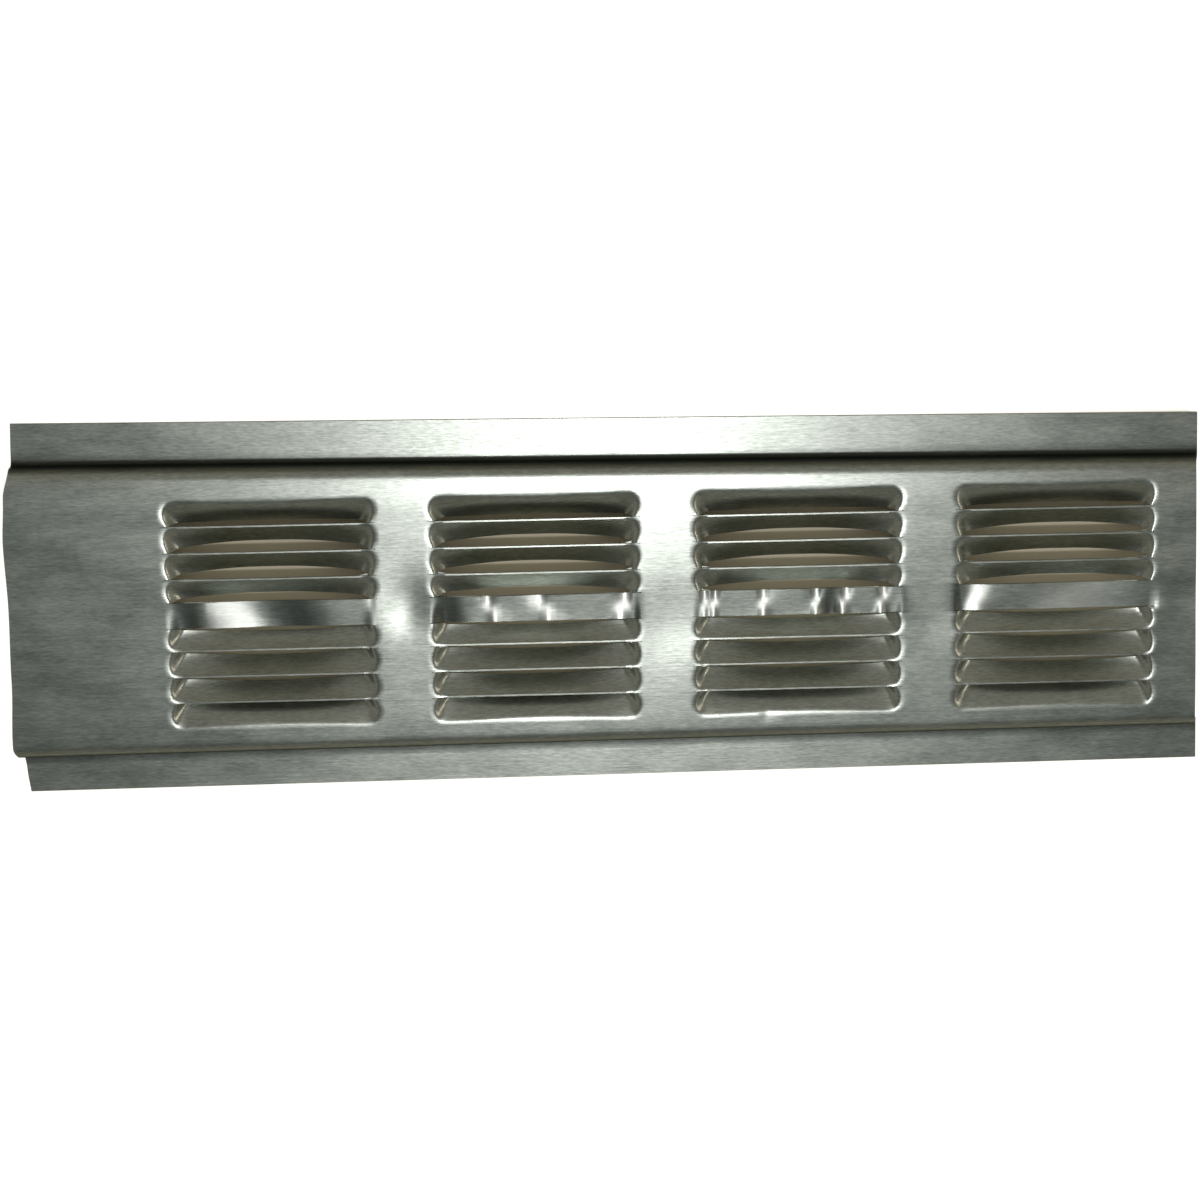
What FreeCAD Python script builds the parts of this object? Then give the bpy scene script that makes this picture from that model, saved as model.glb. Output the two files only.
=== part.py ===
import FreeCAD, Part
import math
import os

# Louvred strip vent, cut from a long roll-formed strip of thin aluminium.
# One sheet is folded to a shallow hat section and pressed with groups of louvres.
# X runs along the strip, Y across it and Z out of the louvred face.
# The strip lies on the backs of its two flanges. The origin is the middle of its footprint.

Vector = FreeCAD.Vector

# ---- the strip (mm) ----
strip_length = 232.9
strip_width = 69.85
sheet = 0.5

# ---- the hat section ----
hat_height = 6.35
hat_width = 53.7
face_bend_radius = 2.4
foot_radius = 1.0

# The hat has sprung open towards the end where it was sheared.
upper_spread = 2.6
lower_spread = 1.0

# The sheared end wanders: (place across the strip, step back from the foremost point).
sheared_end = [
    (40.0, 2.5),
    (29.5, 2.2),
    (24.0, 1.1),
    (15.0, 0.6),
    (3.0, 0.9),
    (-12.0, 0.6),
    (-25.5, 0.0),
    (-30.0, 1.6),
    (-40.0, 2.5),
]

# The other end is one straight cut, a little out of square both across and through the section.
end_slant = 0.029
end_lean = 0.24

# ---- the louvre groups ----
group_count = 4
group_pitch = 50.8
first_slit = 30.6
slit_length = 41.0
field_offset = 0.35

# ---- the slats of one half group, from the centre bar outwards ----
bar_width = 5.2
inner_slat_pitch = 4.6
slat_pitch = 5.2
full_slats = 2
root_slat_pitch = 5.0
lance_gap = 0.15

# ---- the pressed form of a slat ----
inner_louvre_depth = 2.7
louvre_depth = 3.3
root_bend_run = 3.0
root_setback = 0.15

# How a slat's end is drawn down out of the face: (place along the slit, share of the depth).
drawn_end = [
    (0.0, 0.0),
    (1.4, 0.06),
    (4.8, 0.75),
    (9.5, 1.0),
]


def mirrored(shape):
    """The shape's twin on the other side of y = 0."""
    return shape.mirror(Vector(0, 0, 0), Vector(0, 1, 0))


# ---- the hat section ----

wall_y = hat_width / 2.0
flat_y = wall_y - face_bend_radius
side_lap = 1.0


def side_skin(depth):
    """One skin of the hat's side, from the flange's edge to a little way into the flat face.

    depth is how far this skin lies behind the front skin: 0 or the sheet's thickness.
    """
    foot_turn = foot_radius + depth
    foot_y = wall_y + foot_radius
    foot_z = sheet + foot_radius
    bend_turn = face_bend_radius - depth
    bend_z = hat_height - face_bend_radius
    slant = math.sqrt(0.5)
    places = [
        (strip_width / 2.0, foot_z - foot_turn),
        (foot_y, foot_z - foot_turn),
        (foot_y - slant * foot_turn, foot_z - slant * foot_turn),
        (foot_y - foot_turn, foot_z),
        (flat_y + bend_turn, bend_z),
        (flat_y + slant * bend_turn, bend_z + slant * bend_turn),
        (flat_y, bend_z + bend_turn),
        (flat_y - side_lap, bend_z + bend_turn),
    ]
    points = [Vector(0, y, z) for y, z in places]
    edges = [
        Part.LineSegment(points[0], points[1]).toShape(),
        Part.Arc(points[1], points[2], points[3]).toShape(),
        Part.LineSegment(points[3], points[4]).toShape(),
        Part.Arc(points[4], points[5], points[6]).toShape(),
        Part.LineSegment(points[6], points[7]).toShape(),
    ]
    return edges, points[0], points[-1]


def hat_side(spread):
    """A flange, its wall and both bends, on the +y side of the strip and splayed at its left end."""
    front, front_start, front_end = side_skin(0.0)
    back, back_start, back_end = side_skin(sheet)
    ends = [
        Part.LineSegment(front_start, back_start).toShape(),
        Part.LineSegment(front_end, back_end).toShape(),
    ]
    section = Part.Face(Part.Wire(Part.__sortEdges__(front + back + ends)))
    side = section.extrude(Vector(strip_length + 2.0 * side_lap, 0, 0))
    side.translate(Vector(-side_lap, 0, 0))
    splay = math.degrees(math.atan(spread / strip_length))
    side.rotate(Vector(strip_length, wall_y, 0), Vector(0, 0, 1), -splay)
    return side


def face_plate():
    """The flat face between the two sides, a little wider where the hat has sprung open."""
    half = flat_y - side_lap / 2.0
    z = hat_height - sheet
    corners = [
        Vector(0, half + upper_spread, z),
        Vector(strip_length, half, z),
        Vector(strip_length, -half, z),
        Vector(0, -half - lower_spread, z),
    ]
    outline = Part.makePolygon(corners + corners[:1])
    return Part.Face(outline).extrude(Vector(0, 0, sheet))


def shear_waste():
    """What the hand shears took off: a plug that covers all in front of the wandering cut."""
    cut = Part.BSplineCurve()
    cut.interpolate([Vector(back, y, 0) for y, back in sheared_end])
    first_y, first_back = sheared_end[0]
    last_y, last_back = sheared_end[-1]
    corners = [
        Vector(last_back, last_y, 0),
        Vector(-strip_width, last_y, 0),
        Vector(-strip_width, first_y, 0),
        Vector(first_back, first_y, 0),
    ]
    edges = [cut.toShape()]
    for start, end in zip(corners, corners[1:]):
        edges.append(Part.LineSegment(start, end).toShape())
    plug = Part.Face(Part.Wire(edges)).extrude(Vector(0, 0, 2.0 * hat_height))
    plug.translate(Vector(0, 0, -hat_height / 2.0))
    return plug


def end_waste():
    """What the straight cut took off: all beyond a plane through the lower flange's corner."""
    reach = 2.0 * strip_width
    low = -hat_height
    high = 2.0 * hat_height
    x = strip_length + end_slant * (reach - strip_width / 2.0)
    corners = [
        Vector(x - end_lean * low, -reach, low),
        Vector(x - end_lean * high, -reach, high),
        Vector(x + reach, -reach, high),
        Vector(x + reach, -reach, low),
    ]
    outline = Part.makePolygon(corners + corners[:1])
    return Part.Face(outline).extrude(Vector(-end_slant * 2.0 * reach, 2.0 * reach, 0))


def hat_strip():
    """The folded strip before the louvres are pressed, cut at both ends."""
    sides = [hat_side(upper_spread), mirrored(hat_side(lower_spread))]
    length_of_strip = Part.makeBox(strip_length, 2.0 * strip_width, 2.0 * hat_height)
    length_of_strip.translate(Vector(0, -strip_width, -hat_height / 2.0))
    whole = face_plate().fuse(sides).common(length_of_strip)
    return whole.cut([shear_waste(), end_waste()])


# ---- the louvres ----

def slat_line(x, depth, width, rooted):
    """The front of a slat's section at x, with the slat's free edge pressed down by depth.

    The line starts at y = 0 on the face and falls towards -y. A free slat is a rigid strip that
    is turned down about its upper edge. A rooted slat is drawn out of the face over a soft bend.
    """
    face_edge = Vector(x, 0, 0)
    if not rooted:
        run = math.sqrt(width * width - depth * depth)
        return Part.LineSegment(face_edge, Vector(x, -run, -depth)).toShape()
    deep_edge = Vector(x, root_setback * depth / louvre_depth - width, -depth)
    bend = Part.BezierCurve()
    bend.setPoles([face_edge, Vector(x, -root_bend_run, 0), deep_edge])
    return bend.toShape()


def slat_solid(pitch, depth, rooted):
    """One slat: a straight middle between two drawn ends, all of one thickness.

    The sheet is thickened along the line midway between square to the face and square to the
    slat, so that both keep the sheet's own thickness.
    """
    width = pitch - lance_gap
    stations = drawn_end + [(slit_length - x, share) for x, share in reversed(drawn_end)]
    lines = [slat_line(x, share * depth, width, rooted) for x, share in stations]
    half_lean = math.asin(depth / width) / 2.0
    through = Vector(0, math.sin(half_lean), -math.cos(half_lean)) * (sheet / math.cos(half_lean))
    bays = [Part.makeRuledSurface(one, other).extrude(through) for one, other in zip(lines, lines[1:])]
    return bays[0].fuse(bays[1:]).removeSplitter()


def half_group():
    """The slats on one side of the centre bar, with the bar's middle at y = 0."""
    pitches = [inner_slat_pitch] + [slat_pitch] * full_slats + [root_slat_pitch]
    slats = []
    y = bar_width / 2.0
    for number, pitch in enumerate(pitches):
        y += pitch
        depth = inner_louvre_depth if number == 0 else louvre_depth
        rooted = number == len(pitches) - 1
        slat = slat_solid(pitch, depth, rooted)
        slat.translate(Vector(0, y, hat_height))
        slats.append(slat)
    return slats, y


def half_window(outer_y):
    """What one half group takes out of the flat face."""
    height = outer_y - bar_width / 2.0
    window = Part.makeBox(slit_length, height, 2.0 * sheet)
    window.translate(Vector(0, bar_width / 2.0, hat_height - 1.5 * sheet))
    return window


def louvred_panel():
    slats, outer_y = half_group()
    window = half_window(outer_y)
    slats += [mirrored(slat) for slat in slats]
    windows = [window, mirrored(window)]
    all_slats = []
    all_windows = []
    for group in range(group_count):
        place = Vector(first_slit + group * group_pitch, field_offset, 0)
        all_slats += [slat.translated(place) for slat in slats]
        all_windows += [window.translated(place) for window in windows]
    panel = hat_strip().cut(all_windows).fuse(all_slats).removeSplitter()
    panel.translate(Vector(-strip_length / 2.0, (lower_spread - upper_spread) / 2.0, 0))
    return panel


os.makedirs("parts", exist_ok=True)
panel = louvred_panel()
panel.exportStep("parts/louvred_panel.step")
print("valid", panel.isValid(), "solids", len(panel.Solids), "volume", round(panel.Volume, 1))
box = panel.BoundBox
print("box", [round(v, 2) for v in (box.XMin, box.XMax, box.YMin, box.YMax, box.ZMin, box.ZMax)])
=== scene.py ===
# %% [markdown]
# # A louvred strip vent
#
# The object is one strip of thin aluminium, folded to a shallow hat section and pressed with four
# groups of louvres. This lesson makes it the way the factory does: a flat blank is slit, the slats
# are pressed down between the slits, and the sides are folded. The sheet gets its thickness last.
# The CAD model is loaded first, as the frame that everything has to fit. Its solid has the right
# size but plainer slats, so the pressed sheet then stands in for it.

# %% The fixed frame
import math

import bmesh
import bpy
from mathutils import Matrix, Vector


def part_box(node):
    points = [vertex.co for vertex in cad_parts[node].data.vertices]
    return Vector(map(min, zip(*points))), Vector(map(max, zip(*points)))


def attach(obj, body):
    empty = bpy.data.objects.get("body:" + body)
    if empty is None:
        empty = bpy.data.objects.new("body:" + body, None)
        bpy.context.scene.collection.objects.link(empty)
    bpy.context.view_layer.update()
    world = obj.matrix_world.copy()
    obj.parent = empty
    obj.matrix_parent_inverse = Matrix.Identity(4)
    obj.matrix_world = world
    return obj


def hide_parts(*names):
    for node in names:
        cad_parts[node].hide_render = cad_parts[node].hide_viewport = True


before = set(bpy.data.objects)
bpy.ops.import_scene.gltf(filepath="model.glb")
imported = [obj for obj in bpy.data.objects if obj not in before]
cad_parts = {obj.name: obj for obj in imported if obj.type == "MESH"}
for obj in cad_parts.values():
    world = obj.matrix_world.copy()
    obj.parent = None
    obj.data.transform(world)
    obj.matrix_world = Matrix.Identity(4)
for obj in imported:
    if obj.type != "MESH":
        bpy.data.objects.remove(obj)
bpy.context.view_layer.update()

NODE = "louvred_panel"
low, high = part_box(NODE)
print("CAD box", [tuple(round(v, 4) for v in corner) for corner in (low, high)])

# %% [markdown]
# ## Sizes
#
# A vent strip is known by its width and by the pitch of its louvres, and it is cut to length. Sizes
# are in millimetres, as on a shop drawing, and are turned into metres once, when the finished mesh
# is scaled. The length and the height are read from the frame, so they can't drift from the CAD
# model. x runs along the strip from its sheared end, and v runs across the flat blank from its
# middle.

# %% Sizes of the strip and of its section
MM = 0.001
STRIP_LENGTH = round((high[0] - low[0]) / MM, 3)
STRIP_WIDTH = 69.85
SHEET = 0.5
HAT_HEIGHT = round((high[2] - low[2]) / MM, 3)
HAT_WIDTH = 53.7
# The outer radius of the bend beside the face, and the inner radius of the bend into the flange.
FACE_BEND = 2.4
FOOT_BEND = 1.0
# How far each flange is splayed out at the sheared end.
UPPER_SPREAD = 2.6
LOWER_SPREAD = 1.0
print("strip", STRIP_LENGTH, "long,", STRIP_WIDTH, "wide and", HAT_HEIGHT, "high")

# %% Sizes of the louvres
GROUPS = 4
GROUP_PITCH = 50.8
FIRST_SLIT = 30.6
SLIT_LENGTH = 41.0
# How far above the blank's middle the middle of the bars lies.
FIELD_OFFSET = 0.35
BAR_WIDTH = 5.2
# One value for each row of slats, from the bar outwards.
SLAT_PITCHES = [4.6, 5.2, 5.2, 5.0]
SLAT_DEPTHS = [2.7, 3.3, 3.3, 3.3]
ROWS = len(SLAT_PITCHES)

row_edges = [BAR_WIDTH / 2.0]
for pitch in SLAT_PITCHES:
    row_edges.append(row_edges[-1] + pitch)
print("slats", 2 * ROWS * GROUPS, "with row edges at", [round(edge, 2) for edge in row_edges])

# %% [markdown]
# ## The blank
#
# The blank is the flat metal before any forming. It could be drawn as one outline and filled, but a
# press bends metal everywhere, so it needs vertices all over. A grid operator makes evenly spaced
# lines, and they are then moved to where the metal needs them: close together where the ends of
# the louvres are drawn, where the bars are creased and where the sides are folded, and far apart
# where the sheet stays flat.

# %% Where the bars are creased
BAR_TWISTS = [
    # x from the middle of the strip, reach along x, slant, strength. A bar leans with its lower edge down.
    # A positive strength tips it the other way and paints a highlight there, and a negative one tips it
    # further and paints shade there.
    # the first group
    (-81.8, 1.9, 0.0, -1.6), (-72.6, 3.2, 0.0, 1.0), (-60.5, 3.2, 0.0, -1.2), (-45.8, 0.6, 0.0, 0.9),
    # the second group
    (-32.0, 1.9, 0.0, -1.6), (-23.1, 0.7, -0.3, 1.0), (-13.0, 0.9, -0.4, 1.0), (2.3, 1.1, 0.2, 1.0),
    (5.4, 0.8, 0.0, -1.2),
    # the third group
    (18.0, 0.5, 0.0, 1.0), (20.0, 0.5, 0.1, 0.9), (29.5, 0.6, 0.0, 1.0), (39.8, 0.6, 0.0, 1.0),
    (42.6, 1.0, 0.0, -1.2), (45.2, 0.6, 0.15, 1.0), (52.6, 0.6, 0.1, 1.0), (56.5, 0.9, 0.0, -1.0),
    # the fourth group
    (67.0, 0.8, 0.0, -1.2), (70.7, 1.5, 0.0, 1.0), (90.1, 5.0, 0.0, 0.55),
]
# A crease whose reach is shorter than this gets lines of its own, at these multiples of its reach.
NARROW_CREASE = 1.5
CREASE_STEPS = [-1.7, -0.8, 0.0, 0.8, 1.7]


def crease_lines():
    """Extra lines for the narrow creases in the bars."""
    narrow = [(x, reach) for x, reach, slant, strength in BAR_TWISTS if reach < NARROW_CREASE]
    return [STRIP_LENGTH / 2.0 + x + reach * step for x, reach in narrow for step in CREASE_STEPS]


print("lines for creases", len(crease_lines()))

# %% Lines along the strip
# No line comes closer to a line placed before it than this.
CLOSEST_LINES = 0.15
# Past the end of a slit the lines are close, and they open out in steps on its inner side.
RIM_SPAN = 1.0
SCOOP_SPAN = 1.6
TAIL_SPAN = 10.0
# The number of lines in each span.
PLAIN_END_LINES = 14
SCOOP_LINES = 11
TAIL_LINES = 15
MIDDLE_LINES = 10
BETWEEN_LINES = 5


def spaced(start, end, count):
    """count places from start to just before end."""
    return [start + (end - start) * n / count for n in range(count)]


def slit_start(group):
    """Where the slits of a group start, along the strip."""
    return FIRST_SLIT + group * GROUP_PITCH


def slit_ends():
    """Where the slits start and stop, along the strip."""
    starts = [slit_start(group) for group in range(GROUPS)]
    return starts + [start + SLIT_LENGTH for start in starts]


def group_lines(group):
    """The lines over one group of louvres and over the plain face after it."""
    start = slit_start(group)
    end = start + SLIT_LENGTH
    lines = spaced(start - RIM_SPAN, start + SCOOP_SPAN, SCOOP_LINES)
    lines += spaced(start + SCOOP_SPAN, start + TAIL_SPAN, TAIL_LINES)
    lines += spaced(start + TAIL_SPAN, end - TAIL_SPAN, MIDDLE_LINES)
    lines += spaced(end - TAIL_SPAN, end - SCOOP_SPAN, TAIL_LINES)
    lines += spaced(end - SCOOP_SPAN, end + RIM_SPAN, SCOOP_LINES)
    last = STRIP_LENGTH if group == GROUPS - 1 else end + GROUP_PITCH - SLIT_LENGTH - RIM_SPAN
    return lines + spaced(end + RIM_SPAN, last, BETWEEN_LINES)


def lines_along():
    """The blank's lines along x. The slits' ends and the straight end come first, so they stay exact."""
    lines = crease_lines() + spaced(0.0, FIRST_SLIT - RIM_SPAN, PLAIN_END_LINES)
    for group in range(GROUPS):
        lines += group_lines(group)
    kept = slit_ends() + [STRIP_LENGTH]
    for line in lines:
        if all(abs(line - other) > CLOSEST_LINES for other in kept):
            kept.append(line)
    return sorted(kept)


x_lines = lines_along()
print("lines along the strip", len(x_lines))

# %% The section laid flat
FLAT_HALF = HAT_WIDTH / 2.0 - FACE_BEND
BEND_RUN = FACE_BEND * math.pi / 2.0
WALL_RUN = HAT_HEIGHT - FACE_BEND - SHEET - FOOT_BEND
FOOT_RUN = FOOT_BEND * math.pi / 2.0
FLANGE_RUN = (STRIP_WIDTH - HAT_WIDTH) / 2.0 - FOOT_BEND
# Bend, wall, foot and flange: the run of each on the blank, and the lines in it.
FOLD_SPANS = [(BEND_RUN, 8), (WALL_RUN, 2), (FOOT_RUN, 5), (FLANGE_RUN, 4)]
print("half the blank", round(FLAT_HALF + sum(run for run, count in FOLD_SPANS), 3))

# %% Lines across the strip
# A slat keeps a narrow lip along its hinge, and the lines there are this far apart.
HINGE_LIP = 0.35
ROW_LINES = 6
ROOT_ROW_LINES = 10
MARGIN_LINES = 4
BAR_LINES = 4


def half_lines_across(side):
    """The blank's lines across one half, from the bar's edge outwards."""
    lines = []
    for deep_edge, hinge in zip(row_edges, row_edges[1:]):
        count = ROOT_ROW_LINES if hinge == row_edges[-1] else ROW_LINES
        lip = hinge - 2.0 * HINGE_LIP
        lines += spaced(deep_edge, lip, count) + [lip, hinge - HINGE_LIP]
    lines = [side * FIELD_OFFSET + place for place in lines]
    field_end = row_edges[-1] + side * FIELD_OFFSET
    lines += spaced(field_end, FLAT_HALF, MARGIN_LINES)
    place = FLAT_HALF
    for run, count in FOLD_SPANS:
        lines += spaced(place, place + run, count)
        place += run
    return [side * line for line in lines + [place]]


def lines_across():
    """The blank's lines across v, over both halves and the bar between them."""
    upper = half_lines_across(1.0)
    lower = half_lines_across(-1.0)[::-1]
    return lower + spaced(lower[-1], upper[0], BAR_LINES)[1:] + upper


v_lines = lines_across()
print("lines across the strip", len(v_lines))

# %% The blank itself
def blank():
    """A grid whose lines are then moved to their places. Each vertex keeps x and v in its position."""
    bm = bmesh.new()
    columns = len(x_lines) - 1
    rows = len(v_lines) - 1
    bmesh.ops.create_grid(bm, x_segments=columns, y_segments=rows, size=1.0)
    for vert in bm.verts:
        column = round((vert.co.x + 1.0) / 2.0 * columns)
        row = round((vert.co.y + 1.0) / 2.0 * rows)
        vert.co = Vector((x_lines[column], v_lines[row], 0.0))
    return bm


metal = blank()
print("blank of", len(metal.faces), "faces")

# %% [markdown]
# ## Slitting
#
# Each row of slats is cut free along its deep edge, the one towards the bar. A cutter could take a
# narrow strip of metal away there, but a real lance removes nothing. So the edges on that line are
# split: the two sides still touch, and they part when they are pressed.

# %% The slits
# How near two places have to be to count as the same.
TOUCH = 1e-4


def slit_lines():
    """Where the slits lie across the blank: one beside the bar and one between each pair of rows."""
    return [side * edge + FIELD_OFFSET for side in (-1.0, 1.0) for edge in row_edges[:-1]]


def group_at(x, margin=TOUCH):
    """The number of the group whose slits reach over x, or None between the groups."""
    for group in range(GROUPS):
        if slit_start(group) - margin <= x <= slit_start(group) + SLIT_LENGTH + margin:
            return group
    return None


def slit(bm):
    """Cuts the slats free from each other and from the bar. Returns how many edges were split."""
    places = slit_lines()
    cuts = []
    for edge in bm.edges:
        one, other = (vert.co for vert in edge.verts)
        on_line = any(abs(one.y - v) < TOUCH and abs(other.y - v) < TOUCH for v in places)
        if on_line and group_at((one.x + other.x) / 2.0) is not None:
            cuts.append(edge)
    bmesh.ops.split_edges(bm, edges=cuts)
    return len(cuts)


print("slit edges", slit(metal))

# %% [markdown]
# ## Pressing
#
# A slat stays on the face along its hinge, the edge away from the bar, and is pushed down along its
# deep edge. Turning whole faces about that line would leave open steps at the slat's ends, where
# the real metal is drawn to a rounded scoop. So each vertex is moved by a formula instead. The
# slat turns about its hinge like a stiff strip, and towards its ends the push fades, first in a
# long gentle tail and then in a steep wall with a rolled rim. The outermost slat of a field has no
# slit along its hinge, so there the sheet runs on flat for a short lead before it bends down.

# %% The outline of a slat's end
# The rim reaches past the slit's end at the middle of a slat, and starts inside it between slats.
RIM_REACH = 0.7
CUSP = 0.25
RIM_RUN = 1.9
RIM_DEPTH = 0.23


def smooth_step(share):
    """0 up to a share of 0 and 1 from a share of 1 on, with a smooth rise between them."""
    share = min(max(share, 0.0), 1.0)
    return share * share * (3.0 - 2.0 * share)


def past_scoop(x, place):
    """How far x along a slit lies inside the scoop's outline, at a place from 0 to 1 across the slat."""
    outline = (RIM_REACH + CUSP) * (2.0 * place - 1.0) ** 2 - RIM_REACH
    return min(x, SLIT_LENGTH - x) - outline


def rim_dip(x, place):
    """How deep the rolled rim of the scoop lies below the face."""
    rolled = min(max(past_scoop(x, place) / RIM_RUN, 0.0), 1.0)
    return RIM_DEPTH * 4.0 * place * (1.0 - place) * rolled * rolled


print("rim's dip in the middle of a slat", round(rim_dip(SLIT_LENGTH / 2.0, 0.5), 3))

# %% How deep a slat is pressed along its length
# The wall starts on the rim, a little inside the scoop's outline.
WALL_START = 0.6 * RIM_RUN
WALL_DRAW = 2.0
TAIL_DRAW = 17.0
# The share of the depth that the wall takes. The tail takes the rest.
WALL_SHARE = 0.55
# A slat is clear of its neighbours once it is pressed to this share of its depth.
FREE_SHARE = 0.25


def press_share(x, place):
    """How far a slat is pressed at x along its slit: a steep wall at the scoop, then a long gentle tail."""
    inside = past_scoop(x, place) - WALL_START
    short = 1.0 - min(max(inside / TAIL_DRAW, 0.0), 1.0)
    return WALL_SHARE * smooth_step(inside / WALL_DRAW) + (1.0 - WALL_SHARE) * (1.0 - short * short)


def freed(share):
    """How far a slat pressed to a share of its depth has come clear of its neighbours."""
    return smooth_step(share / FREE_SHARE)


for x in (0.0, WALL_DRAW, TAIL_DRAW):
    print("at", x, "along the slit a slat is pressed to", round(press_share(x, 0.5), 3))

# %% The form of a pressed slat
# The narrow gap that opens along a slit, and the height that the lip rolls down by.
LANCE_GAP = 0.15
LIP_ROLL = 0.06
# The outermost slat: its flat lead at the ends and the extra in the middle, the share of its fall
# that comes as one kink, and how far its deep edge draws back.
ROOT_LEAD = 0.1
ROOT_BOW = 0.6
ROOT_KINK = 0.5
ROOT_SETBACK = 0.15


def turned_slat(from_hinge, row, width, share):
    """A slat with a slit along its hinge: it turns as a stiff strip past its rolled lip."""
    depth = SLAT_DEPTHS[row] * share
    turned = max(from_hinge - HINGE_LIP, 0.0) / (SLAT_PITCHES[row] - HINGE_LIP)
    run = math.sqrt((width - HINGE_LIP) ** 2 - depth * depth)
    roll = LIP_ROLL * freed(share) * max(1.0 - from_hinge / HINGE_LIP, 0.0)
    return min(from_hinge, HINGE_LIP) + turned * run, turned * depth + roll


def bent_slat(x, place, row, width, share):
    """The outermost slat, with no slit along its hinge: a flat lead, then a soft bend."""
    run = width - ROOT_SETBACK * share
    bow = max(4.0 * x * (SLIT_LENGTH - x) / SLIT_LENGTH ** 2, 0.0)
    lead = ROOT_LEAD + ROOT_BOW * bow ** 2
    past_lead = max(place * run - lead, 0.0) / (run - lead)
    fall = ROOT_KINK * past_lead + (1.0 - ROOT_KINK) * past_lead ** 2
    return place * run, fall * SLAT_DEPTHS[row] * share


def pressed(x, from_hinge, row):
    """How far a point of a slat lies from its hinge line, and how deep, after pressing."""
    place = from_hinge / SLAT_PITCHES[row]
    share = press_share(x, place)
    width = SLAT_PITCHES[row] - LANCE_GAP * freed(share)
    if row < ROWS - 1:
        run, fall = turned_slat(from_hinge, row, width, share)
    else:
        run, fall = bent_slat(x, place, row, width, share)
    return run, fall + rim_dip(x, place)


for row in range(ROWS):
    run, fall = pressed(SLIT_LENGTH / 2.0, SLAT_PITCHES[row], row)
    print("row", row, "reaches", round(run, 2), "from its hinge and falls", round(fall, 2))

# %% The pressed blank
def side_of_slit(vert):
    """Where the faces round a vertex lie across the blank. It tells the two sides of a slit apart."""
    middles = [face.calc_center_median().y for face in vert.link_faces]
    return sum(middles) / len(middles)


def press(bm):
    """Presses every slat of every group. Returns how many vertices were moved."""
    moves = []
    for vert in bm.verts:
        group = group_at(vert.co.x, RIM_REACH + TOUCH)
        if group is None:
            continue
        v = side_of_slit(vert) - FIELD_OFFSET
        side = 1.0 if v > 0.0 else -1.0
        row = next((n for n in range(ROWS) if row_edges[n] < abs(v) < row_edges[n + 1]), None)
        if row is None:
            continue
        hinge = row_edges[row + 1]
        from_hinge = hinge - side * (vert.co.y - FIELD_OFFSET)
        from_hinge = min(max(from_hinge, 0.0), SLAT_PITCHES[row])
        run, fall = pressed(vert.co.x - slit_start(group), from_hinge, row)
        moves.append((vert, side * (hinge - run) + FIELD_OFFSET, -fall))
    for vert, v, z in moves:
        vert.co.y = v
        vert.co.z = z
    return len(moves)


print("pressed", press(metal), "vertices")

# %% [markdown]
# ## Shearing and folding
#
# The left end was cut by hand, so its edge wanders, and the right end is cut a little out of
# square. Cutting planes could trim both, but they would leave ragged faces beside the cuts, so the
# metal near each end is slid along the strip to its cut. The sides are folded by laying the
# blank's outer part round the hat section: up to the bend it stays flat, then it goes round the
# bend, down the wall, out round the foot and along the flange. The section has sprung open
# towards the sheared end.

# %% The two ends
SHEARED_END = [
    # y across the folded strip, and how far the edge there lies behind its foremost point
    (-40.0, 2.5), (-30.0, 1.6), (-25.5, 0.0), (-12.0, 0.6), (3.0, 0.9),
    (15.0, 0.6), (24.0, 1.1), (29.5, 2.2), (40.0, 2.5),
]
# How far from each end the metal is slid.
SHEAR_REACH = 24.0
# The straight cut's slope across the strip, and its slope through the section.
END_SLANT = 0.029
END_LEAN = 0.24


def step_back(y):
    """How far the sheared end lies behind its foremost point, at y across the folded strip."""
    for (y0, back0), (y1, back1) in zip(SHEARED_END, SHEARED_END[1:]):
        if y <= y1:
            return back0 + (back1 - back0) * smooth_step((y - y0) / (y1 - y0))
    return SHEARED_END[-1][1]


def end_shift(x, y, height):
    """How far the two cuts slide a point along the strip. It fades with the distance from each end."""
    at_start = max(1.0 - x / SHEAR_REACH, 0.0)
    at_end = min(max((x + SHEAR_REACH - STRIP_LENGTH) / SHEAR_REACH, 0.0), 1.0)
    slope = END_LEAN * height + END_SLANT * (y + STRIP_WIDTH / 2.0)
    return step_back(y) * at_start - slope * at_end


print("the straight end is out of square by", round(END_SLANT * STRIP_WIDTH, 2))

# %% The folded section
# The splay starts this far outside the slats, so that they stay parallel.
FIELD_MARGIN = 0.5


def folded(v):
    """Where a place on the flat blank lies in the hat section: across, and up from the face."""
    side = 1.0 if v > 0.0 else -1.0
    past = abs(v) - FLAT_HALF
    if past <= 0.0:
        return v, 0.0
    y = FLAT_HALF
    if past <= BEND_RUN:
        turn = past / FACE_BEND
        return side * (y + FACE_BEND * math.sin(turn)), -FACE_BEND * (1.0 - math.cos(turn))
    past -= BEND_RUN
    y += FACE_BEND
    if past <= WALL_RUN:
        return side * y, -FACE_BEND - past
    past -= WALL_RUN
    z = -FACE_BEND - WALL_RUN
    if past <= FOOT_RUN:
        turn = past / FOOT_BEND
        return side * (y + FOOT_BEND * (1.0 - math.cos(turn))), z - FOOT_BEND * math.sin(turn)
    past -= FOOT_RUN
    return side * (y + FOOT_BEND + past), z - FOOT_BEND


def splay(x, v):
    """How far the sprung section has moved a place sideways."""
    spread = UPPER_SPREAD if v > 0.0 else -LOWER_SPREAD
    field_end = row_edges[-1] + FIELD_MARGIN
    opened = smooth_step((abs(v) - field_end) / (FLAT_HALF - field_end))
    return spread * opened * (1.0 - x / STRIP_LENGTH)


print("edges of the section", [round(folded(v)[0], 3) for v in (v_lines[0], v_lines[-1])])

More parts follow.
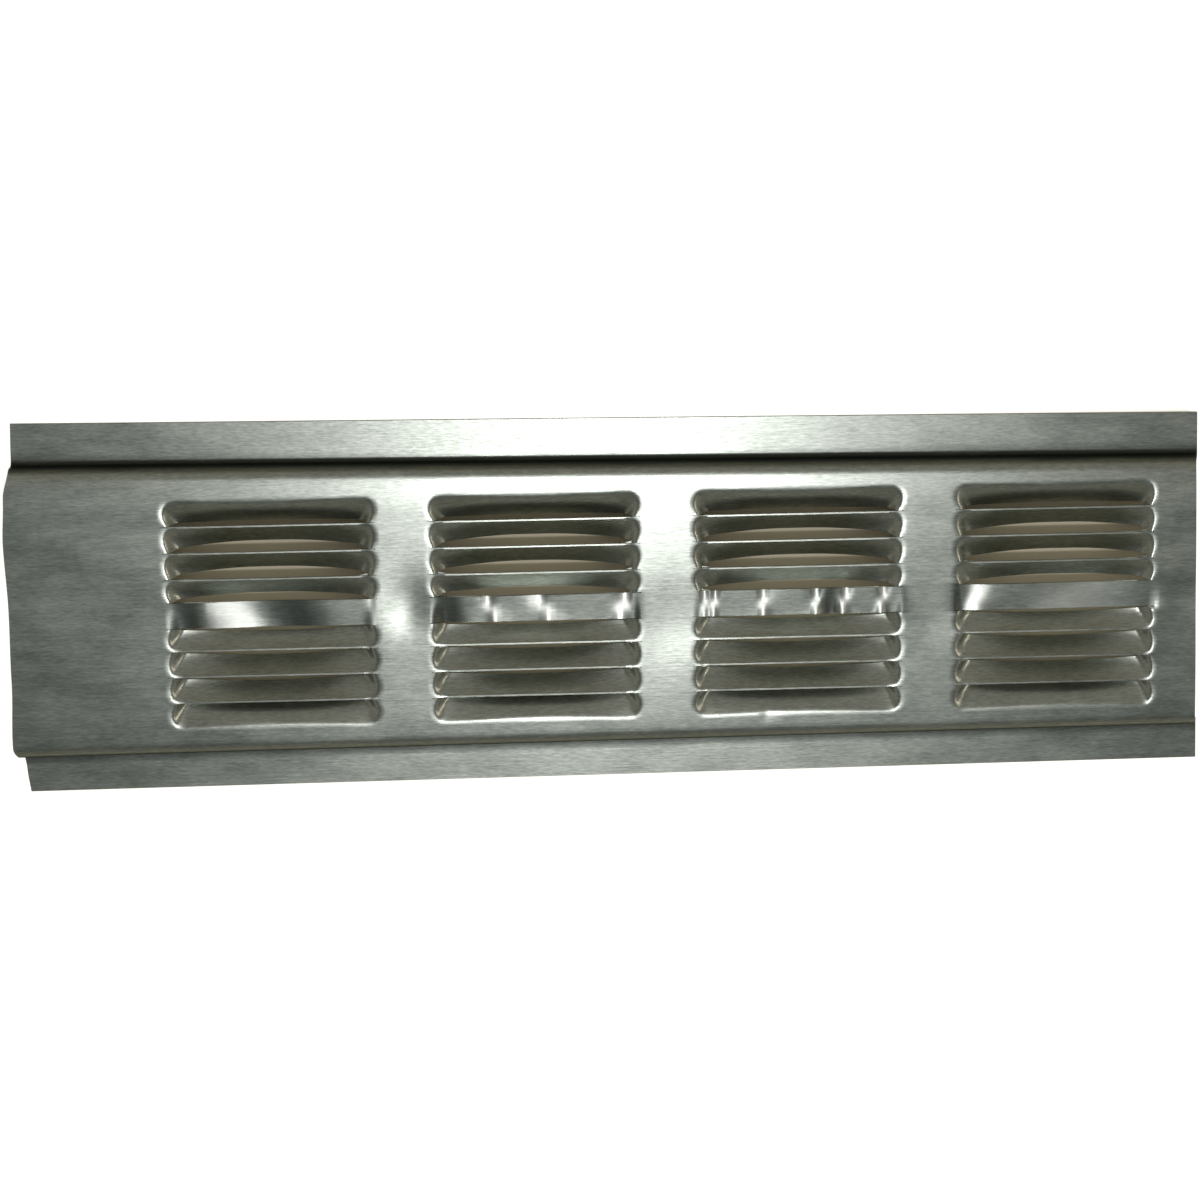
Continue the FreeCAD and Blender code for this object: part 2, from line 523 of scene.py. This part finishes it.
# %% [markdown]
# ## Handling marks
#
# Sheet this thin is never quite flat. Pressing the louvres pulls the metal between the groups down
# a little, the bars are buckled and twisted, and the face falls away gently towards its bends. The
# marks could be faked with a bump in the material, but then the outline and the long highlights
# would stay perfectly straight, so they are made in the metal. Every mark goes inwards, so the
# sheet stays inside its nominal size.

# %% Waves and dents of the face
# One side is splayed more than the other, so the middle of the whole lies this far off the blank's.
MIDDLE_SHIFT = (LOWER_SPREAD - UPPER_SPREAD) / 2.0
# The face sinks by the crown times y squared. Past the edge start it falls further on each side.
CROWN = 0.0004
EDGE_START = 19.0
UPPER_FALL = 0.006
LOWER_FALL = 0.0015
DENTS = [
    # x, y, reach along x, reach along y, depth; x and y from the middle of the strip
    (-39.2, 1.0, 2.5, 4.0, 0.36),
    (12.2, -4.0, 6.0, 5.0, 0.30),
    (63.5, -3.0, 6.0, 5.5, 0.22),
    (111.8, -3.0, 6.0, 5.5, 0.30),
    (30.3, -23.0, 0.9, 0.7, 0.10),
]


def hump(distance, reach):
    """A soft bell of height 1."""
    return math.exp(-0.5 * (distance / reach) ** 2)


def face_marks(x, y):
    """How far the face is pressed in, at x and y from the middle of the strip."""
    fall = UPPER_FALL if y > 0.0 else LOWER_FALL
    depth = CROWN * y * y + fall * max(abs(y) - EDGE_START, 0.0) ** 2
    for x0, y0, reach_x, reach_y, dent in DENTS:
        depth += dent * hump(x - x0, reach_x) * hump(y - y0, reach_y)
    return depth


print("the face sinks by", round(face_marks(0.0, FLAT_HALF), 3), "at its upper bend")

# %% Buckles and twists of the bars
BAR_PLACE = FIELD_OFFSET + MIDDLE_SHIFT
BAR_BUCKLES = [
    # x from the middle of the strip, reach along x, depth
    (-67.0, 4.4, 0.60), (69.0, 1.6, 0.15), (95.0, 5.0, 0.30),
]
# How steeply the bar of each group leans, and the length over which it starts to lean.
BAR_LEAN = [0.055, 0.08, 0.07, 0.065]
LEAN_DRAW = 3.0
# The bar's marks reach this far past its edges and fade over this width.
BAR_MARGIN = 0.6
BAR_FADE = 0.7


def bar_twist(x, y):
    """How far the bar is twisted at x and y from the middle of the strip."""
    away = y - BAR_PLACE
    return sum(strength * hump(x - x0 - slant * away, reach) for x0, reach, slant, strength in BAR_TWISTS)


def bar_lean(x, y):
    """How deep the leaning bar lies: its lower edge hangs, and where it is twisted its upper edge does."""
    from_end = x + STRIP_LENGTH / 2.0
    group = group_at(from_end)
    if group is None:
        return 0.0
    inside = from_end - slit_start(group)
    lean = BAR_LEAN[group] * smooth_step(min(inside, SLIT_LENGTH - inside) / LEAN_DRAW)
    twist = min(bar_twist(x, y), 1.0)
    below_top = BAR_PLACE + BAR_WIDTH / 2.0 - y
    above_foot = y - BAR_PLACE + BAR_WIDTH / 2.0
    return lean * ((1.0 - twist) * below_top + max(twist, 0.0) * max(above_foot, 0.0))


def bar_marks(x, y):
    """How deep the bar is buckled and leaning. It fades to nothing just past the bar's edges."""
    past_bar = abs(y - BAR_PLACE) - BAR_WIDTH / 2.0
    if past_bar >= BAR_MARGIN:
        return 0.0
    share = smooth_step((BAR_MARGIN - past_bar) / BAR_FADE)
    buckles = sum(dent * hump(x - x0, reach) for x0, reach, dent in BAR_BUCKLES)
    return share * (buckles + bar_lean(x, y))


print("deepest mark on a bar", round(bar_marks(BAR_BUCKLES[0][0], BAR_PLACE), 3))

# %% Painted highlights and painted shade
# How bright the bars are painted where their twist tips them towards the key lamp, a painted highlight, and
# how dark where they turn the other way, a painted shade.
BAR_PAINTED_HIGHLIGHT = 0.6
BAR_PAINTED_SHADE = 0.55
# Painted shade on the lower side lies in one dark line round the bend. Its place and reach are shares of
# the bend.
LOWER_PAINTED_SHADE = 0.95
LOWER_PAINTED_SHADE_PLACE = 0.85
LOWER_PAINTED_SHADE_REACH = 0.24
# Painted shade on the upper side lies from the bend down the wall and into the foot.
UPPER_PAINTED_SHADE = 0.8
UPPER_PAINTED_SHADE_START = 0.3
UPPER_PAINTED_SHADE_RISE = 0.4
UPPER_PAINTED_SHADE_END = 0.6


def bar_painted_light(x, y):
    """The painted highlight and the painted shade at x and y from the middle of the strip. Both are 0 off
    the bars.
    """
    if abs(y - BAR_PLACE) > BAR_WIDTH / 2.0 + TOUCH:
        return 0.0, 0.0
    twist = bar_twist(x, y)
    return BAR_PAINTED_HIGHLIGHT * min(max(twist, 0.0), 1.0), BAR_PAINTED_SHADE * min(max(-twist, 0.0), 1.0)


def crease_painted_shade(v):
    """How much painted shade lies at a place across the blank: in the hollow of the foot and round the
    bend.
    """
    past = abs(v) - FLAT_HALF
    foot = BEND_RUN + WALL_RUN
    in_foot = math.exp(-((past - foot - FOOT_RUN / 2.0) ** 2))
    if v < 0.0:
        in_bend = hump(past - LOWER_PAINTED_SHADE_PLACE * BEND_RUN, LOWER_PAINTED_SHADE_REACH * BEND_RUN)
        return max(LOWER_PAINTED_SHADE * in_bend, in_foot)
    on_wall = smooth_step((past - UPPER_PAINTED_SHADE_START * BEND_RUN) / (UPPER_PAINTED_SHADE_RISE * BEND_RUN))
    on_flange = smooth_step((past - foot - UPPER_PAINTED_SHADE_END * FOOT_RUN) / FOOT_RUN)
    return max(UPPER_PAINTED_SHADE * on_wall * (1.0 - on_flange), in_foot)


# The strongest painted shade across the blank.
print("most dirt", round(max(crease_painted_shade(v) for v in v_lines), 2))

# %% The folded sheet
def fold(bm):
    """Folds the sides, slides the ends to their cuts, adds the marks and stores the painted shade and the
    painted highlight.
    """
    grime = bm.verts.layers.float.new("grime")
    rub = bm.verts.layers.float.new("rub")
    for vert in bm.verts:
        x, v, z = vert.co
        y, drop = folded(v)
        y += splay(x, v)
        height = HAT_HEIGHT + drop
        x += end_shift(x, y, height)
        middle_x = x - STRIP_LENGTH / 2.0
        middle_y = y + MIDDLE_SHIFT
        # Each vertex stores the bars' painted highlight, and the painted shade of the bars and the folds.
        vert[rub], bar_shade = bar_painted_light(middle_x, middle_y)
        vert[grime] = max(crease_painted_shade(v), bar_shade)
        on_face = 1.0 - smooth_step((abs(v) - FLAT_HALF) / (BEND_RUN + WALL_RUN))
        marks = (face_marks(middle_x, middle_y) + bar_marks(middle_x, middle_y)) * on_face
        vert.co = Vector((x, y, height + z - marks))


fold(metal)
print("lowest", round(min(vert.co.z for vert in metal.verts), 3), "before the sheet has its thickness")

# %% [markdown]
# ## Thickness
#
# The pressed and folded blank is the front skin of the sheet. Solidify gives it its thickness
# behind that skin and closes it along every cut edge. Those edges are then broken by a small
# bevel, because a sheared edge is never quite sharp and catches the light. Both could be live
# modifiers, but as operators they are finished before the mesh takes its place.

# %% The sheet's thickness and its broken edges
EDGE_BREAK = 0.07
# In radians: an edge turned more sharply than this is the edge of a cut.
CUT_ANGLE = 1.1


def thicken(bm):
    """Gives the skin the sheet's thickness, behind its front."""
    bmesh.ops.recalc_face_normals(bm, faces=bm.faces)
    bmesh.ops.solidify(bm, geom=bm.faces[:], thickness=SHEET)
    bmesh.ops.recalc_face_normals(bm, faces=bm.faces)


def break_edges(bm):
    """Bevels the edges of every cut. Returns how many there were."""
    cut = [e for e in bm.edges if len(e.link_faces) == 2 and e.calc_face_angle() > CUT_ANGLE]
    bmesh.ops.bevel(bm, geom=cut, offset=EDGE_BREAK, affect="EDGES", segments=1, profile=0.5, material=-1)
    return len(cut)


thicken(metal)
print("cut edges broken", break_edges(metal))

# %% The finished sheet
SMOOTH_ANGLE = math.radians(32.0)


def placed(bm, name):
    """Makes a mesh and its object from a bmesh, and puts the object in the scene."""
    mesh = bpy.data.meshes.new(name)
    bm.to_mesh(mesh)
    bm.free()
    made = bpy.data.objects.new(name, mesh)
    bpy.context.scene.collection.objects.link(made)
    return made


def louvred_sheet(bm):
    """Centres the sheet on the frame, turns millimetres into metres and shades it smooth."""
    for face in bm.faces:
        face.smooth = True
    shift = Vector((-STRIP_LENGTH / 2.0, MIDDLE_SHIFT, 0.0))
    bmesh.ops.translate(bm, vec=shift, verts=bm.verts)
    bmesh.ops.scale(bm, vec=(MM, MM, MM), verts=bm.verts)
    made = placed(bm, "pressed_sheet")
    made.data.set_sharp_from_angle(angle=SMOOTH_ANGLE)
    return made


sheet = louvred_sheet(metal)
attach(sheet, "root")
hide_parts(NODE)
print("triangles", sum(len(polygon.vertices) - 2 for polygon in sheet.data.polygons))

# %% [markdown]
# ## Shader helpers
#
# A material is a tree of nodes, and its sums are Math nodes. Wiring each one by hand hides the sum,
# so a small class wraps a socket, and a plain expression on it adds the nodes. Every other node
# comes from one method, which takes the node's type, its settings and what goes into its sockets.

# %% A socket that does maths
class Value:
    """Wraps a node socket, so that sums on it add Math nodes."""

    def __init__(self, tree, socket):
        self.tree = tree
        self.socket = socket

    def math(self, operation, *others):
        """Adds a Math node on this value and the others."""
        return self.tree.math(operation, self, *others)

    def __add__(self, other):
        return self.tree.math("ADD", self, other)

    def __radd__(self, other):
        return self.tree.math("ADD", other, self)

    def __sub__(self, other):
        return self.tree.math("SUBTRACT", self, other)

    def __rsub__(self, other):
        return self.tree.math("SUBTRACT", other, self)

    def __mul__(self, other):
        return self.tree.math("MULTIPLY", self, other)

    def __rmul__(self, other):
        return self.tree.math("MULTIPLY", self, other)


# %% A tree of nodes
class Tree:
    """The nodes of a material or of the world."""

    def __init__(self, owner, shader):
        owner.use_nodes = True
        self.nodes = owner.node_tree.nodes
        self.links = owner.node_tree.links
        self.shader = self.nodes[shader]

    def node(self, kind, settings=None, inputs=None, output=0):
        """Adds a node: its settings first, then the values or links of its sockets."""
        made = self.nodes.new(kind)
        for name, value in (settings or {}).items():
            if name == "stops":
                self.set_stops(made.color_ramp, value)
            else:
                setattr(made, name, value)
        for name, value in (inputs or {}).items():
            self.feed(made.inputs[name], value)
        return Value(self, made.outputs[output])

    def math(self, operation, *values):
        """Adds a Math node on numbers or values."""
        return self.node("ShaderNodeMath", {"operation": operation}, dict(enumerate(values)))

    def feed(self, socket, value):
        """Links a value to a socket, or sets the socket where the value is a plain one."""
        if isinstance(value, Value):
            self.links.new(value.socket, socket)
        else:
            socket.default_value = value

    def feed_shader(self, sockets):
        """Feeds the sockets of the tree's own shader."""
        for name, value in sockets.items():
            self.feed(self.shader.inputs[name], value)
        print("nodes", len(self.nodes))

    def set_stops(self, ramp, stops):
        """Gives a colour ramp its stops, each a place and a colour."""
        while len(ramp.elements) < len(stops):
            ramp.elements.new(0.5)
        for element, (place, colour) in zip(ramp.elements, stops):
            element.position = place
            element.color = colour


# %% [markdown]
# ## Mill aluminium
#
# The sheet is bare aluminium as it comes from the rolling mill. Rolling leaves fine lines along the strip.
# An image could show them, but noise stretched along x does it at any size, for the colour as well as for
# the bump. Those lines also spread a highlight across the strip more than along it, which is what the
# anisotropy is for. The folds get a painted shade. The bars get a painted highlight where their twist turns
# them one way and a painted shade where it turns them the other. Both come from values that were stored on
# the mesh as it was folded.

# %% Noise and blends
def noise(tree, place, scale, detail, roughness):
    """Noise stretched by its own scale along each axis."""
    stretched = tree.node("ShaderNodeMapping", inputs={"Vector": place, "Scale": scale})
    inputs = {"Vector": stretched, "Scale": 1.0, "Detail": detail, "Roughness": roughness}
    return tree.node("ShaderNodeTexNoise", inputs=inputs)


def blend(tree, share, one, other):
    """One colour where share is 0, the other where it is 1. A Mix node has its colours at 6 and 7."""
    return tree.node("ShaderNodeMix", {"data_type": "RGBA"}, {0: share, 6: one, 7: other}, output=2)


# %% The look of the metal
DARK_METAL = (0.34, 0.365, 0.33, 1.0)
LIGHT_METAL = (0.60, 0.63, 0.58, 1.0)
# The next colour is a painted shade for the folds and the bars, and the one after it a painted highlight
# for the bars' creases.
PAINTED_SHADE_COLOUR = (0.025, 0.033, 0.030, 1.0)
PAINTED_HIGHLIGHT_COLOUR = (0.93, 0.93, 0.90, 1.0)
HIGHLIGHT_TINT = (0.55, 0.60, 0.58, 1.0)
# How many times the noise repeats in a metre along x, y and z.
GRAIN_SCALE = (600.0, 3600.0, 3600.0)
STREAK_SCALE = (110.0, 2000.0, 2000.0)
CLOUD_SCALE = (70.0, 170.0, 170.0)
# How strongly the grain and the clouds sway the colour, and what brings their mean back.
GRAIN_SWAY = 2.2
CLOUD_SWAY = 0.7
SWAY_MEAN = 0.95
# The painted shade lies thinner and thicker with the clouds, and never hides the metal wholly.
EVEN_PAINTED_SHADE = 0.7
CLOUDED_PAINTED_SHADE = 0.6
MOST_PAINTED_SHADE = 0.92
BRUSHING = 0.45
# The roughness of clean metal, and what streaks, clouds and the rubbed creases under the painted highlight
# add to it.
CLEAN_ROUGHNESS = 0.18
STREAK_ROUGHNESS = 0.10
CLOUD_ROUGHNESS = 0.17
RUB_ROUGHNESS = 0.15
GRAIN_HEIGHT = 0.6
BUMP_DEPTH = 0.01 * MM


def mill_aluminium():
    """Rolled bare metal, with painted shade in its folds and on the bars, and painted highlights on the
    bars' creases.
    """
    material = bpy.data.materials.new("mill_aluminium")
    tree = Tree(material, "Principled BSDF")
    place = tree.node("ShaderNodeTexCoord", output="Object")
    grain = noise(tree, place, GRAIN_SCALE, detail=3.0, roughness=0.65)
    streak = noise(tree, place, STREAK_SCALE, detail=4.0, roughness=0.6)
    cloud = noise(tree, place, CLOUD_SCALE, detail=4.0, roughness=0.6)
    grime = tree.node("ShaderNodeAttribute", {"attribute_name": "grime"}, output="Fac")
    rub = tree.node("ShaderNodeAttribute", {"attribute_name": "rub"}, output="Fac")
    sway = grain * GRAIN_SWAY + cloud * CLOUD_SWAY - SWAY_MEAN
    clean = blend(tree, sway, DARK_METAL, LIGHT_METAL)
    # Painted shade darkens the folds and the bars where they turn away, and a painted highlight brightens
    # the bars' creases.
    painted_shading = (grime * (EVEN_PAINTED_SHADE + CLOUDED_PAINTED_SHADE * cloud)).math("MINIMUM", MOST_PAINTED_SHADE)
    colour = blend(tree, rub, blend(tree, painted_shading, clean, PAINTED_SHADE_COLOUR), PAINTED_HIGHLIGHT_COLOUR)
    gloss = CLEAN_ROUGHNESS + STREAK_ROUGHNESS * streak + CLOUD_ROUGHNESS * cloud
    height = grain * GRAIN_HEIGHT + streak
    relief = {"Strength": 1.0, "Distance": BUMP_DEPTH, "Height": height}
    tree.feed_shader({
        "Base Color": colour,
        "Metallic": 1.0,
        "Specular Tint": HIGHLIGHT_TINT,
        "Anisotropic": BRUSHING,
        "Roughness": gloss + RUB_ROUGHNESS * rub,
        "Normal": tree.node("ShaderNodeBump", inputs=relief),
    })
    return material


sheet.data.materials.append(mill_aluminium())

# %% The direction of the rolling lines
# With no tangent of its own, the anisotropy runs in rings round the z axis of the mesh's texture
# space. Moved far off along x, that space turns the rings into straight lines over the strip.
TEXTURE_CENTRE = (-10.0, 0.0, 0.0)
TEXTURE_SIZE = (0.001, 1000.0, 1000.0)

sheet.data.use_auto_texspace = False
sheet.data.texspace_location = TEXTURE_CENTRE
sheet.data.texspace_size = TEXTURE_SIZE
print("texture space", TEXTURE_CENTRE, TEXTURE_SIZE)

# %% [markdown]
# ## The floor
#
# The strip lies on a plain pale floor. More light would make the floor white, but it would burn out
# the metal too, so the white is a glow that only the camera's rays see. The metal's reflections see
# the floor as the lamps light it. To have them show the white as well, Is Glossy Ray and Is
# Transmission Ray would be added to Is Camera Ray. Straight under the strip the glow gives way to
# a faint warm one, which keeps the slits dim.

# %% The floor's material
FLOOR_HALF = 2.0
# Half the footprint along x and y, a few millimetres inside the strip's outline.
FOOTPRINT = (0.112, 0.033)
# The glow reaches its strength over 2 mm beyond the footprint, and white 0.15 m away from it.
GLOW_RISE = 500.0
LEAST_WHITE = 0.85
UNDER_GLOW = (0.020, 0.017, 0.012)
FLOOR_COLOUR = (0.95, 0.87, 0.70, 1.0)
FLOOR_ROUGHNESS = 0.9
FLOOR_DROP = 0.0002


def beyond(place, half):
    """How far a coordinate lies outside plus or minus half."""
    return (place.math("ABSOLUTE") - half).math("MAXIMUM", 0.0)


def pale_floor():
    """A pale floor that glows white to the camera, and only faintly under the strip."""
    material = bpy.data.materials.new("pale_floor")
    tree = Tree(material, "Principled BSDF")
    place = tree.node("ShaderNodeTexCoord", output="Object")
    x = tree.node("ShaderNodeSeparateXYZ", inputs={"Vector": place}, output="X")
    y = tree.node("ShaderNodeSeparateXYZ", inputs={"Vector": place}, output="Y")
    past_x = beyond(x, FOOTPRINT[0])
    past_y = beyond(y, FOOTPRINT[1])
    away = (past_x * past_x + past_y * past_y).math("SQRT")
    seen = tree.node("ShaderNodeLightPath", output="Is Camera Ray")
    outside = (away * GLOW_RISE).math("MINIMUM", 1.0)
    white = (LEAST_WHITE + away).math("MINIMUM", 1.0) * outside * seen
    under = (1.0 - outside) * seen
    channels = {n: white + share * under for n, share in enumerate(UNDER_GLOW)}
    tree.feed_shader({
        "Emission Color": tree.node("ShaderNodeCombineXYZ", inputs=channels),
        "Emission Strength": 1.0,
        "Base Color": FLOOR_COLOUR,
        "Roughness": FLOOR_ROUGHNESS,
        "Specular IOR Level": 0.0,
    })
    return material


# %% The floor itself
def floor():
    """One square face, a hair below the strip's flanges."""
    bm = bmesh.new()
    bmesh.ops.create_grid(bm, x_segments=1, y_segments=1, size=FLOOR_HALF)
    made = placed(bm, "floor")
    made.data.materials.append(pale_floor())
    made.location.z = -FLOOR_DROP
    return made


ground = floor()
print("floor", 2.0 * FLOOR_HALF, "across")

# %% [markdown]
# ## The light
#
# A small key lamp overhead gives the metal its broad highlight, and a wide warm lamp to the right
# lights the slopes that face it. Metal shows its surroundings more than its own colour, so the sky
# matters as much as the lamps. A sky picture would put shapes into the metal. A plain ramp, from a
# warm horizon through a lighter band to a dim cool zenith, gives each slat a soft tone by the way
# it leans. The ramp is tilted, so that the slats above the bar and below it differ.

# %% The lamps
LAMP_AIM = Vector((0.0, 0.0, 0.0))
WHITE_LIGHT = (1.0, 1.0, 1.0)
WARM_LIGHT = (1.0, 0.88, 0.72)


def lamp(name, place, size, power, colour):
    """A round area lamp aimed at the strip."""
    data = bpy.data.lights.new(name, "AREA")
    data.shape = "DISK"
    data.size = size
    data.energy = power
    data.color = colour
    made = bpy.data.objects.new(name, data)
    made.location = place
    made.rotation_euler = (LAMP_AIM - Vector(place)).to_track_quat("-Z", "Y").to_euler()
    bpy.context.scene.collection.objects.link(made)
    print(name, "lamp of", power, "watts")


lamp("key", place=(0.036, -0.020, 0.95), size=0.07, power=1.6, colour=WHITE_LIGHT)
lamp("side", place=(0.65, 0.03, 0.65), size=0.30, power=0.5, colour=WARM_LIGHT)

# %% The sky
SKY_TILT = 0.35
SKY_STOPS = [
    # place from the horizon at 0 to the zenith at 1, colour
    (0.0, (0.22, 0.20, 0.155, 1.0)),
    (0.35, (0.30, 0.285, 0.25, 1.0)),
    (0.52, (0.24, 0.235, 0.21, 1.0)),
    (0.80, (0.19, 0.175, 0.135, 1.0)),
    (1.0, (0.075, 0.09, 0.088, 1.0)),
]

world = bpy.data.worlds.new("studio")
bpy.context.scene.world = world
sky = Tree(world, "Background")
direction = sky.node("ShaderNodeTexCoord", output="Generated")
rearward = sky.node("ShaderNodeSeparateXYZ", inputs={"Vector": direction}, output="Y")
upward = sky.node("ShaderNodeSeparateXYZ", inputs={"Vector": direction}, output="Z")
rise = upward - SKY_TILT * rearward
sky.feed_shader({"Color": sky.node("ShaderNodeValToRGB", {"stops": SKY_STOPS}, {"Fac": rise})})

# %% [markdown]
# ## The camera
#
# The strip lies flat, so the camera looks down on it, from a little to its +y side and with a long
# lens that keeps its two edges nearly parallel. Three angles and a distance are easier to adjust
# than a place, so the camera's own axes are worked out from them and put into its matrix.

# %% The camera
# In degrees: how far the camera stands off straight above, towards +y and towards +x, and how far
# it is turned about its own axis.
CAMERA_PITCH = 14.21
CAMERA_YAW = -2.13
CAMERA_ROLL = -0.83
CAMERA_DISTANCE = 0.5858
CAMERA_LENS = 89.9
SENSOR_WIDTH = 36.0
NEAREST = 0.01
CAMERA_TARGET = Vector((-0.0017, -0.00095, 0.0))


def camera():
    """A camera that looks down on the strip."""
    data = bpy.data.cameras.new("camera")
    data.lens = CAMERA_LENS
    data.sensor_width = SENSOR_WIDTH
    data.clip_start = NEAREST
    yaw, pitch, roll = (math.radians(angle) for angle in (CAMERA_YAW, CAMERA_PITCH, CAMERA_ROLL))
    back = Vector((math.tan(yaw), math.tan(pitch), 1.0)).normalized()
    right = Vector((0.0, 1.0, 0.0)).cross(back).normalized()
    up = back.cross(right)
    rolled_right = right * math.cos(roll) + up * math.sin(roll)
    rolled_up = up * math.cos(roll) - right * math.sin(roll)
    turn = Matrix((rolled_right, rolled_up, back)).transposed().to_4x4()
    made = bpy.data.objects.new("camera", data)
    made.matrix_world = Matrix.Translation(CAMERA_TARGET + back * CAMERA_DISTANCE) @ turn
    bpy.context.scene.collection.objects.link(made)
    bpy.context.scene.camera = made
    return made


view = camera()
print("camera at", [round(place, 3) for place in view.matrix_world.translation])
bpy.context.scene.view_settings.view_transform = "Standard"
